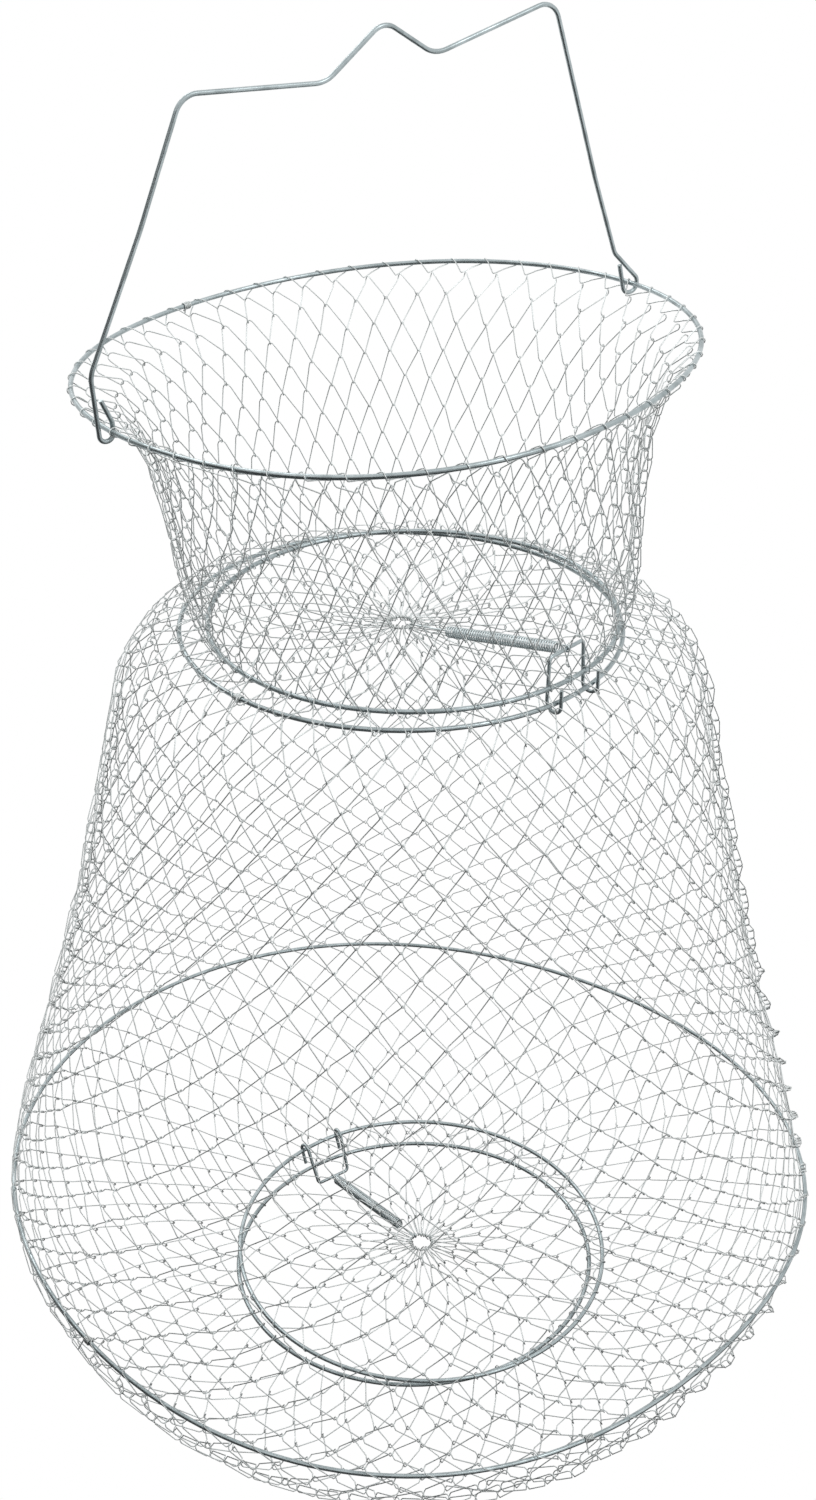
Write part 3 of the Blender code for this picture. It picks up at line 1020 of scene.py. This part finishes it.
@dataclass
class TrapDoor:
    """A round door that a bracket hinges to a hoop of the basket and a coil spring pulls shut.

    Attributes:
        prefix: The start of the names of its pieces and of the part's nodes.
        hoop: The door's own hoop.
        frame_hoop: The hoop of the basket that it closes.
        azimuth: The middle of the hinge.
        side: The face that the spring and the bracket stand on.
        bodies: The body that carries the bracket, and the door's own body.
        reach: How far the bracket's crossbar stands off the door hoop.
        comes_back: How far the bracket's free ends come back up past the hoop.
        hangs: How far its hooks hang below the hoop.
        bracket_lean: How far the bracket leans over its hinge, in degrees.
        seed: Where the random draws start.
        lines: Radii of the net's lines of knots between the hoop and the eye.
        link: How the net is wound.
        net_shift: How far its knots stray.
        overlap: How far its first line of knots lies outside the hoop's wire.
        eye_radius: The radius of the eye that gathers the net.
        hook_spacing: From one hook of the bracket to the other.
        crossbar: The bracket's crossbar, as its length and the radius of its two bends.
        spring_diameter: The spring's outer diameter.
        spring_lead: From the crossbar to the spring's first turn.
        spring_share: Where its last turn lies, as a share of the way to the eye.
        curls: How many turns it has.
        curl_points: How many points a turn has.
        curl_ends: The share of its radius that the first turn starts with, and the least that a turn has.
        bar_turns: Where the spring's hook round the crossbar starts and ends, in degrees.
        eye_turns: The same for its hook round the eye.
        bend_steps: How many straight pieces a quarter of a bend has.
    """

    prefix: str
    hoop: Hoop
    frame_hoop: Hoop
    azimuth: float
    side: Side
    bodies: tuple[Body, Body]
    reach: float
    comes_back: float
    hangs: float
    bracket_lean: float
    seed: int
    lines: tuple[float, ...] = (0.0820, 0.0690, 0.0560, 0.0430, 0.0300, 0.0175)
    link: ChainLink = field(default_factory=lambda: ChainLink(columns=27, width=(0.6 * MM, 0.6 * MM)))
    net_shift: tuple[float, float, float] = (0.7 * MM, 0.8 * MM, 0.5 * MM)
    overlap: float = 1.0 * MM
    eye_radius: float = 0.0055
    hook_spacing: float = 0.0210
    crossbar: tuple[float, float] = (0.0185, 0.0020)
    spring_diameter: float = 0.0050
    spring_lead: float = 0.0035
    spring_share: float = 0.76
    curls: int = 47
    curl_points: int = 12
    curl_ends: tuple[float, float] = (0.6, 0.15)
    bar_turns: tuple[float, float] = (330.0, 90.0)
    eye_turns: tuple[float, float] = (100.0, -150.0)
    bend_steps: int = 8

    def __post_init__(self) -> None:
        """Works out the hinge."""
        swing = degrees(self.hook_spacing / 2 / self.hoop.radius)
        self.hook_azimuths = (self.azimuth + swing, self.azimuth - swing)
        ends = [self.hoop.point(each) for each in self.hook_azimuths]
        self.pivot = (ends[0] + ends[1]) / 2
        self.axis = (ends[0] - ends[1]).normalized()
        self.face = UP * self.side.value
        self.eye_spot = self.hoop.at(self.eye_radius, self.azimuth)

    def bracket_leg(self, azimuth: float) -> list[Vector]:
        """Bends one leg of the bracket: its free end, the hook round both hoops and the way to the crossbar.

        Args:
            azimuth: Where the leg hooks round the hoops.

        Returns:
            The points of its middle line.
        """
        out = heading(azimuth)
        middle_of_wire = self.hoop.point(azimuth)
        inset = (middle_of_wire - self.frame_hoop.point(azimuth)).dot(out)
        outer = HOOP_GAUGE.thickness / 2 + BRACKET_GAUGE.thickness / 2 + CLEARANCE
        inner = -max(inset, 0.0) - outer
        middle, radius = (outer + inner) / 2, (outer - inner) / 2
        leg = [middle_of_wire + out * outer + self.face * self.comes_back]
        for k in range(2 * self.bend_steps + 1):
            turn = pi * k / (2 * self.bend_steps)
            down = self.face * (self.hangs + radius * sin(turn))
            leg.append(middle_of_wire + out * (middle + radius * cos(turn)) - down)
        leg.append(middle_of_wire + out * inner + self.face * self.reach)
        return leg

    def bracket(self) -> tuple[Route, Vector]:
        """Bends the bracket.

        Returns:
            Its middle line, and the middle of its crossbar.
        """
        first, last = (self.bracket_leg(azimuth) for azimuth in self.hook_azimuths)
        length, bend = self.crossbar
        middle = (first[-1] + last[-1]) / 2
        first[-1] = middle + self.axis * length / 2
        last[-1] = middle - self.axis * length / 2
        crossing = rounded([first[-2], first[-1], last[-1], last[-2]], [bend, bend], self.bend_steps)
        route = first[:-2] + crossing + last[-3::-1]
        tilt = Matrix.Rotation(-radians(self.bracket_lean) * self.side.value, 4, self.axis)
        turned = [self.pivot + tilt @ (point - self.pivot) for point in route]
        return Route(turned), self.pivot + tilt @ (middle - self.pivot)

    def spring(self, bar: Vector) -> Route:
        """The spring's middle line, hooked round the crossbar and round the eye.

        Args:
            bar: The middle of the crossbar.

        Returns:
            The middle line.
        """
        span = (self.eye_spot - bar).length
        along = (self.eye_spot - bar).normalized()
        over = (self.face - along * self.face.dot(along)).normalized()
        beside = along.cross(over)
        bar_bend = BRACKET_GAUGE.thickness / 2 + SPRING_GAUGE.thickness / 2 + CLEARANCE / 2
        eye_bend = EYE_GAUGE.thickness / 2 + SPRING_GAUGE.thickness / 2 + CLEARANCE / 2
        coil_radius = (self.spring_diameter - SPRING_GAUGE.thickness) / 2
        coil_end = self.spring_share * span
        points = []
        for k in range(2 * self.bend_steps + 1):
            turn = radians(part_way(*self.bar_turns, k / (2 * self.bend_steps)))
            points.append(bar + (along * cos(turn) + over * sin(turn)) * bar_bend)
        first_curl, least_curl = self.curl_ends
        steps = self.curls * self.curl_points
        for k in range(steps + 1):
            turn = 2 * pi * k / self.curl_points
            closing = min(1.0, (steps - k) / self.curl_points, first_curl + k / self.curl_points)
            ring = (over * cos(turn) + beside * sin(turn)) * coil_radius * max(closing, least_curl)
            points.append(bar + along * part_way(self.spring_lead, coil_end, k / steps) + ring)
        for k in range(2 * self.bend_steps + 1):
            turn = radians(part_way(*self.eye_turns, k / (2 * self.bend_steps)))
            points.append(self.eye_spot + (along * cos(turn) + over * sin(turn)) * eye_bend)
        return Route(points)

    def build(self, bench: Bench) -> None:
        """Makes the door, its bracket and its spring.

        Args:
            bench: Where the wire is bent.
        """
        carrier, own = self.bodies
        ring = bench.bend(self.prefix + "_ring", HOOP_GAUGE, [self.hoop.ring()], HOOP_ZINC)
        bench.fix(ring, own, self.prefix + "_hoop")

        rim = self.hoop.radius + self.overlap
        hub = self.eye_radius - self.link.hook
        disc = Disc(self.hoop)
        stations = [self.hoop.radius - radius for radius in (rim, *self.lines, hub)]
        wander = Wander(self.seed, self.net_shift, held=(0, len(stations) - 1))
        table = self.link.knuckles(disc, stations, self.azimuth, wander)
        net = bench.bend(self.prefix + "_links", NET_GAUGE, self.link.rows(table), NET_ZINC)
        bench.fix(net, own, self.prefix + "_net")

        eye = Hoop(self.eye_radius, self.hoop.height, self.hoop.offset, self.hoop.slope, segments=40)
        eyelet = bench.bend(self.prefix + "_eyelet", EYE_GAUGE, [eye.ring()], NET_ZINC)
        bench.fix(eyelet, own, self.prefix + "_eye")

        prefix = carrier.value
        route, bar = self.bracket()
        piece = bench.bend(prefix + "_bracket_wire", BRACKET_GAUGE, [route], HOOP_ZINC)
        bench.fix(piece, carrier, prefix + "_bracket")
        coil = bench.bend(prefix + "_spring_coil", SPRING_GAUGE, [self.spring(bar)], SPRING_ZINC)
        bench.stretch(coil, self.bodies, (bar, self.eye_spot), prefix + "_spring")


@dataclass
class Basket:
    """The four hoops of the basket, the nets between them, and what ties the one to the other.

    Attributes:
        link: How the nets are wound.
        funnel: The surface between the mouth hoop and the neck hoop.
        sleeve: The surface from the neck hoop over the belly hoop to the base hoop.
        under_mouth: How far down the funnel its first line of knots hangs in the lacing.
        wrap: How far past a hoop the knots of an end row lie whose bends wrap it.
        funnel_rows: How many rows the funnel has.
        body_rows: How many rows there are from the neck hoop to the belly hoop.
        base_rows: How many rows there are from the belly hoop to the base hoop.
        under_belly: How far below the belly hoop its line of knots lies.
        lacing_azimuth: Where a turn of the lacing crosses over the mouth hoop.
        funnel_azimuth: Where a knot of the funnel's first line lies.
        body_azimuth: Where a knot of the body net's first line lies.
        shift: How far the knots stray.
        seeds: Where the random draws of the lacing, the funnel and the body net start.
        funnel_folds: Two heights over the mouth hoop's plane that go to the bench with the funnel's net.
        body_folds: The same for the net above the belly hoop, over that hoop's plane.
        base_folds: The same for the net below it.
    """

    link: ChainLink = field(default_factory=lambda: ChainLink(columns=54))
    funnel: Sleeve = field(
        default_factory=lambda: Sleeve(
            [
                NetSurface(
                    MOUTH,
                    NECK,
                    (
                        (0.1090, 0.4020),
                        (0.1035, 0.3915),
                        (0.0995, 0.3790),
                        (0.0968, 0.3570),
                        (0.0922, 0.3160),
                    ),
                    fade=0.7,
                    belly=(0.0, -4.5 * MM),
                )
            ]
        )
    )
    sleeve: Sleeve = field(
        default_factory=lambda: Sleeve(
            [
                NetSurface(
                    NECK,
                    BELLY,
                    (
                        (0.1030, 0.2970),
                        (0.1155, 0.2890),
                        (0.1240, 0.2720),
                        (0.1345, 0.2220),
                        (0.1510, 0.1500),
                        (0.1690, 0.0820),
                        (0.1820, 0.0380),
                    ),
                    belly=(0.0, -7.0 * MM),
                    belly_at=0.12,
                ),
                NetSurface(
                    BELLY,
                    BASE,
                    (
                        (0.1885, -0.0120),
                        (0.1830, -0.0240),
                        (0.1740, -0.0360),
                        (0.1600, -0.0470),
                        (0.1400, -0.0550),
                        (0.1150, -0.0600),
                        (0.1000, -0.0605),
                    ),
                ),
            ]
        )
    )
    under_mouth: float = 6.0 * MM
    wrap: float = 1.2 * MM
    funnel_rows: int = 10
    body_rows: int = 35
    base_rows: int = 12
    under_belly: float = 4.4 * MM
    lacing_azimuth: float = -110.0
    funnel_azimuth: float = -105.9
    body_azimuth: float = -88.2
    shift: tuple[float, float, float] = (0.6 * MM, 0.5 * MM, 0.6 * MM)
    seeds: tuple[int, int, int] = (11, 21, 22)
    funnel_folds: tuple[float, float] = (0.0, -99.0 * MM)
    body_folds: tuple[float, float] = (291.0 * MM, 1.0 * MM)
    base_folds: tuple[float, float] = (-5.5 * MM, -50.0 * MM)

    def hoops(self, bench: Bench) -> None:
        """Makes the four hoops.

        Args:
            bench: Where the wire is bent.
        """
        named = (("mouth", MOUTH), ("neck", NECK), ("belly", BELLY), ("base", BASE))
        for name, hoop in named:
            piece = bench.bend(name + "_ring", HOOP_GAUGE, [hoop.ring()], HOOP_ZINC)
            bench.fix(piece, Body(name), name + "_hoop")

    def lacing(self, bench: Bench) -> None:
        """Winds the lacing wire that holds the funnel to the mouth hoop.

        Args:
            bench: Where the wire is bent.
        """
        turns = self.link.columns
        wound = Lacing(MOUTH, turns, self.lacing_azimuth, MOUTH_WINDING, MOUTH_DRIFT, self.seeds[0])
        piece = bench.bend("mouth_lacing", NET_GAUGE, [wound.route()], NET_ZINC)
        bench.fix(piece, Body.MOUTH, "mouth_net")

    def funnel_net(self, bench: Bench) -> None:
        """Makes the net between the mouth and the neck.

        Args:
            bench: Where the wire is bent.
        """
        end = self.funnel.length + self.wrap
        lines = self.link.stations(self.funnel, self.under_mouth, end, self.funnel_rows)
        wander = Wander(self.seeds[1], self.shift, held=(0, self.funnel_rows))
        table = self.link.knuckles(self.funnel, lines, self.funnel_azimuth, wander, FUNNEL_DRIFT)
        net = bench.bend("mouth_net_rows", NET_GAUGE, self.link.rows(table), NET_ZINC)
        ends = MOUTH.over(self.funnel_folds[0]), MOUTH.over(self.funnel_folds[1])
        bench.stretch(net, (Body.MOUTH, Body.NECK), ends, "mouth_net")

    def body_and_base_nets(self, bench: Bench) -> None:
        """Makes the net that runs from the neck over the belly hoop to the base.

        Args:
            bench: Where the wire is bent.
        """
        turn = self.sleeve.surfaces[0].length + self.under_belly
        end = self.sleeve.length + self.wrap
        upper = self.link.stations(self.sleeve, -self.wrap, turn, self.body_rows)
        lower = self.link.stations(self.sleeve, turn, end, self.base_rows)
        lines = upper + lower[1:]
        LOG.info("strands %.2f mm", (upper[1] - upper[0]) / MM)
        held = (0, self.body_rows - 1, self.body_rows, len(lines) - 1)
        wander = Wander(self.seeds[2], self.shift, held)
        table = self.link.knuckles(self.sleeve, lines, self.body_azimuth, wander, BODY_DRIFT)
        rows = self.link.rows(table)
        half = self.body_rows // 2
        body_ends = BELLY.over(self.body_folds[0]), BELLY.over(self.body_folds[1])
        base_ends = BELLY.over(self.base_folds[0]), BELLY.over(self.base_folds[1])
        halves = {"body_net_upper_rows": rows[:half], "body_net_lower_rows": rows[half:self.body_rows]}
        for name, part in halves.items():
            net = bench.bend(name, NET_GAUGE, part, NET_ZINC)
            bench.stretch(net, (Body.NECK, Body.BELLY), body_ends, "body_net")
        net = bench.bend("base_net_rows", NET_GAUGE, rows[self.body_rows:], NET_ZINC)
        bench.stretch(net, (Body.BELLY, Body.BASE), base_ends, "base_net")

    def knots(self, bench: Bench) -> None:
        """Winds the short knots of net wire on the hoops.

        Args:
            bench: Where the wire is bent.
        """
        named = (
            ("mouth_tie", Knot(MOUTH, 136.0), Body.MOUTH),
            ("neck_door_tie", Knot(NECK_DOOR, -133.0), Body.NECK_DOOR),
            ("belly_tie_front", Knot(BELLY, -66.0, turns=5.5), Body.BELLY),
            ("belly_tie_left", Knot(BELLY, -138.0), Body.BELLY),
        )
        for node, knot, body in named:
            piece = bench.bend(node + "_winding", TIE_GAUGE, [knot.route()], NET_ZINC)
            bench.fix(piece, body, node)

    def build(self, bench: Bench) -> None:
        """Makes the hoops, the nets and what ties them.

        Args:
            bench: Where the wire is bent.
        """
        self.hoops(bench)
        self.lacing(bench)
        self.funnel_net(bench)
        self.body_and_base_nets(bench)
        self.knots(bench)


@dataclass
class Studio:
    """The camera, the lamps, the pale floor and the light of the room.

    Attributes:
        lens: Focal length in millimetres, for a frame 36 mm tall.
        pitch: The camera's turn from straight down, in degrees.
        roll: How far it is turned about its own view, in degrees.
        hang_point: Where the basket hangs, over the middle of the belly hoop.
        camera_spot: Where the camera stands, over the middle of the belly hoop.
        floor_height: The floor, a little below the hanging basket.
        floor_size: The floor's side.
        shade_card_radius: The radius of the dark card under the basket, which paints shade into the wire's
            reflections.
        shade_card_sides: How far the dark card reaches to the left and the right in front.
        shade_card_reach: How far it reaches forward.
        shade_card_height: How high it rises there.
        lamps_aim: What the lamps shine at, under the hang point.
    """

    hang_point: Vector
    lens: float = 50.571
    pitch: float = 60.59
    roll: float = 0.07
    camera_spot: tuple[float, float, float] = (0.0002, -0.8006, 0.6836)
    floor_height: float = -0.66
    floor_size: float = 14.0
    shade_card_radius: float = 0.38
    shade_card_sides: tuple[float, float] = (-1.3, 0.6)
    shade_card_reach: float = 2.0
    shade_card_height: float = 1.2
    lamps_aim: tuple[float, float, float] = (0.0, 0.0, -0.3)

    def camera(self) -> None:
        """Sets up the camera."""
        data = bpy.data.cameras.new("camera")
        data.lens = self.lens
        data.sensor_width = 36.0
        data.sensor_fit = "AUTO"
        data.clip_start = 0.01
        data.clip_end = 100.0
        camera = placed("camera", data)
        camera.rotation_mode = "XYZ"
        camera.matrix_world = (
            Matrix.Translation(Vector(self.camera_spot) - self.hang_point)
            @ Matrix.Rotation(radians(self.pitch), 4, "X")
            @ Matrix.Rotation(radians(self.roll), 4, "Z")
        )
        bpy.context.scene.camera = camera

    def white_for(self, nodes: bpy.types.Nodes, links: bpy.types.NodeLinks, plain: str, white: str) -> None:
        """Shows one shader to the camera and in reflections, and another to all other light.

        Args:
            nodes: The nodes of the material or the world.
            links: Its links.
            plain: The name of the node that lights.
            white: The name of the node that the camera and the metal see.
        """
        path = nodes.new("ShaderNodeLightPath")
        seen = nodes.new("ShaderNodeMath")
        seen.operation = "MAXIMUM"
        links.new(path.outputs["Is Camera Ray"], seen.inputs[0])
        links.new(path.outputs["Is Glossy Ray"], seen.inputs[1])
        through = nodes.new("ShaderNodeMath")
        through.operation = "MAXIMUM"
        links.new(seen.outputs["Value"], through.inputs[0])
        links.new(path.outputs["Is Transmission Ray"], through.inputs[1])
        mixed = nodes.new("ShaderNodeMixShader")
        links.new(through.outputs["Value"], mixed.inputs["Fac"])
        links.new(nodes[plain].outputs[0], mixed.inputs[1])
        links.new(nodes[white].outputs[0], mixed.inputs[2])
        output = next(node for node in nodes if node.bl_idname.startswith("ShaderNodeOutput"))
        links.new(mixed.outputs["Shader"], output.inputs["Surface"])

    def room(self) -> None:
        """Lights the room evenly, with a white background behind the basket."""
        world = bpy.data.worlds.new("room")
        bpy.context.scene.world = world
        world.use_nodes = True
        nodes = world.node_tree.nodes
        light = nodes["Background"]
        light.inputs["Color"].default_value = (0.97, 0.99, 1.0, 1.0)
        light.inputs["Strength"].default_value = 0.8
        white = nodes.new("ShaderNodeBackground")
        white.name = "white"
        white.inputs["Color"].default_value = WHITE
        self.white_for(nodes, world.node_tree.links, "Background", "white")

    def floor(self) -> None:
        """Lays the pale floor, which the camera sees as white."""
        bpy.ops.mesh.primitive_plane_add(size=self.floor_size, location=(0.0, 0.0, self.floor_height))
        floor = bpy.context.object
        floor.name = "floor"
        paint = matt("floor_paint", grey=0.80, roughness=0.9)
        nodes = paint.node_tree.nodes
        white = nodes.new("ShaderNodeEmission")
        white.name = "white"
        white.inputs["Color"].default_value = WHITE
        self.white_for(nodes, paint.node_tree.links, "Principled BSDF", "white")
        floor.data.materials.append(paint)

    def painted_shade_screen(self) -> None:
        """Puts a dark card under the basket and in front of it, which only the wire's reflections see.

        It paints shade into the wire's reflections, so that the wire shows a dark underside. A round of the
        card lies under the basket, a sheet runs forward from its middle and is folded up in front, and one
        stands on the left.
        """
        left, right = self.shade_card_sides
        lift = (0.0, 0.0, self.shade_card_height)
        sheet = bmesh.new()
        bmesh.ops.create_circle(sheet, cap_ends=True, segments=48, radius=self.shade_card_radius)
        forward = ((left, 0.0), (right, 0.0)), ((0.0, -self.shade_card_reach, 0.0), lift)
        beside = ((left, self.shade_card_radius), (left, -self.shade_card_reach)), (lift,)
        for ends, folds in (forward, beside):
            hem = sheet.edges.new([sheet.verts.new((*end, -1 * MM)) for end in ends])
            for fold in folds:
                grown = bmesh.ops.extrude_edge_only(sheet, edges=[hem])["geom"]
                corners = [part for part in grown if isinstance(part, bmesh.types.BMVert)]
                bmesh.ops.translate(sheet, vec=fold, verts=corners)
                hem = next(part for part in grown if isinstance(part, bmesh.types.BMEdge))
        data = bpy.data.meshes.new("painted_shade_screen")
        sheet.to_mesh(data)
        sheet.free()
        screen = placed("painted_shade_screen", data)
        screen.location = (0.0, 0.0, self.floor_height + 5 * MM)
        # Painted shade: this dark card is seen only in the wire's reflections, not by the camera, by diffuse
        # light or by shadows.
        data.materials.append(matt("painted_shade_card", grey=0.08, roughness=1.0))
        screen.visible_camera = False
        screen.visible_diffuse = False
        screen.visible_shadow = False

    def lamp(self, name: str, spot: tuple[float, float, float], size: float, watts: float) -> None:
        """Hangs a square soft lamp that shines at the middle of the basket.

        Args:
            name: The lamp's name.
            spot: Where it hangs.
            size: Its side.
            watts: Its power.
        """
        data = bpy.data.lights.new(name, "AREA")
        data.shape = "SQUARE"
        data.size = size
        data.energy = watts
        lamp = placed(name, data)
        lamp.location = spot
        aim = Vector(self.lamps_aim) - Vector(spot)
        lamp.rotation_euler = aim.to_track_quat("-Z", "Y").to_euler()

    def build(self) -> None:
        """Sets up the camera, the floor and the light."""
        self.camera()
        self.room()
        self.floor()
        self.painted_shade_screen()
        self.lamp("key_lamp", spot=(1.2, -0.8, 1.6), size=1.0, watts=9.0)
        self.lamp("back_lamp", spot=(-0.8, 1.4, 1.2), size=0.8, watts=6.0)
        bpy.context.scene.view_settings.view_transform = "Standard"


def main() -> None:
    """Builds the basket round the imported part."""
    logging.basicConfig(level=logging.INFO, format="%(name)s: %(message)s")
    bail = Bail()
    bench = Bench(bail.hang_point())
    Studio(bench.hang_point).build()
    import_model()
    bail.build(bench)
    Basket().build(bench)
    TrapDoor(
        prefix="neck_door",
        hoop=NECK_DOOR,
        frame_hoop=NECK,
        azimuth=-41.4,
        side=Side.ABOVE,
        bodies=(Body.NECK, Body.NECK_DOOR),
        reach=0.0176,
        comes_back=0.0060,
        hangs=0.0010,
        bracket_lean=0.0,
        seed=31,
        hook_spacing=0.0235,
        crossbar=(0.0217, 0.0020),
    ).build(bench)
    TrapDoor(
        prefix="base_door",
        hoop=BASE_DOOR,
        frame_hoop=BASE,
        azimuth=126.0,
        side=Side.BELOW,
        bodies=(Body.BASE, Body.BASE_DOOR),
        reach=0.0190,
        comes_back=0.0080,
        hangs=0.0,
        bracket_lean=24.0,
        seed=32,
        spring_share=0.83,
    ).build(bench)


if __name__ == "__main__":
    main()
